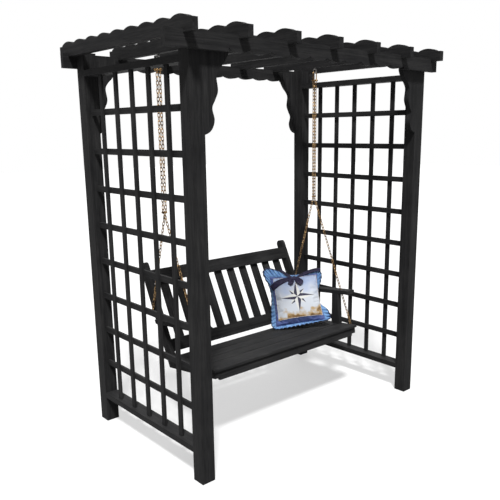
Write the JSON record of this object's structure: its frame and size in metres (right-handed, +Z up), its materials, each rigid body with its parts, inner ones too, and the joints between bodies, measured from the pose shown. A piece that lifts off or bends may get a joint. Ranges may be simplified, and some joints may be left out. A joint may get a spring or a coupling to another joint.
{
  "type": "arbor swing",
  "caption": "Dark garden arbor with lattice sides and lobed rafters, with a slatted bench hanging inside on paired chains and a ruffled square pillow on the seat.",
  "frame": {"origin": "on the floor, at the middle of the footprint of the four posts", "axes": "+Z up, -Y towards the open front that the seat faces, +X towards the right as seen from the front"},
  "size_m": [2.372, 1.454, 2.579],
  "materials": {
    "stained_wood": "charcoal semi-solid stain, faint grain, matt",
    "chain": "yellow zinc, slightly worn, half shine",
    "steel": "dull zinc",
    "pillow_cover": "woven cotton, pale panel in a navy border",
    "ruffle": "light blue cotton, pleated",
    "ribbon": "navy satin ribbon"
  },
  "bodies": {
    "arbor": {"post_front_left": "stained_wood", "post_front_right": "stained_wood", "post_back_left": "stained_wood", "post_back_right": "stained_wood", "header_front": "stained_wood", "header_back": "stained_wood", "rafter_1": "stained_wood", "rafter_2": "stained_wood", "rafter_3": "stained_wood", "rafter_4": "stained_wood", "rafter_5": "stained_wood", "rafter_6": "stained_wood", "rafter_7": "stained_wood", "bracket_front_left": "stained_wood", "bracket_front_right": "stained_wood", "bracket_back_left": "stained_wood", "bracket_back_right": "stained_wood", "bottom_rail_left": "stained_wood", "bottom_rail_right": "stained_wood", "top_rail_left": "stained_wood", "top_rail_right": "stained_wood", "uprights_left": "stained_wood", "uprights_right": "stained_wood", "crossbars_left": "stained_wood", "crossbars_right": "stained_wood", "header_screws": "steel", "rafter_screws": "steel", "frame_fixings": "steel", "hanger_eye_left": "steel", "hanger_eye_right": "steel"},
    "left_upper_chain": {"shackle_left": "chain", "upper_chain_left": "chain", "join_pin_left": "chain"},
    "right_upper_chain": {"shackle_right": "chain", "upper_chain_right": "chain", "join_pin_right": "chain"},
    "seat": {"front_chain_left": "chain", "front_chain_right": "chain", "rear_chain_left": "chain", "rear_chain_right": "chain", "seat_eyes": "steel", "side_rail_left": "stained_wood", "side_rail_right": "stained_wood", "rear_rail": "stained_wood", "centre_support": "stained_wood", "apron": "stained_wood", "seat_slats": "stained_wood", "stile_left": "stained_wood", "stile_right": "stained_wood", "back_rail_top": "stained_wood", "back_rail_low": "stained_wood", "back_slats": "stained_wood", "arm_left": "stained_wood", "arm_right": "stained_wood", "arm_posts": "stained_wood", "seat_fixings": "steel", "pillow": "pillow_cover", "pillow_ruffle": "ruffle", "pillow_ribbon": "ribbon"}
  },
  "joints": [
    {"name": "left_swing", "type": "hinge", "parent": "arbor", "child": "left_upper_chain", "pos_m": [-0.707, 0.16, 2.4614], "axis": [1, 0, 0], "range_deg": [-20, 20]},
    {"name": "right_swing", "type": "hinge", "parent": "arbor", "child": "right_upper_chain", "pos_m": [0.707, 0.16, 2.4614], "axis": [1, 0, 0], "range_deg": [-20, 20]},
    {"name": "seat_rock", "type": "hinge", "parent": "left_upper_chain", "child": "seat", "pos_m": [-0.707, 0.16, 1.504], "axis": [1, 0, 0], "range_deg": [-8, 8]}
  ],
  "couplings": [
    {"joint": "right_swing", "follows": "left_swing", "ratio": 1}
  ]
}
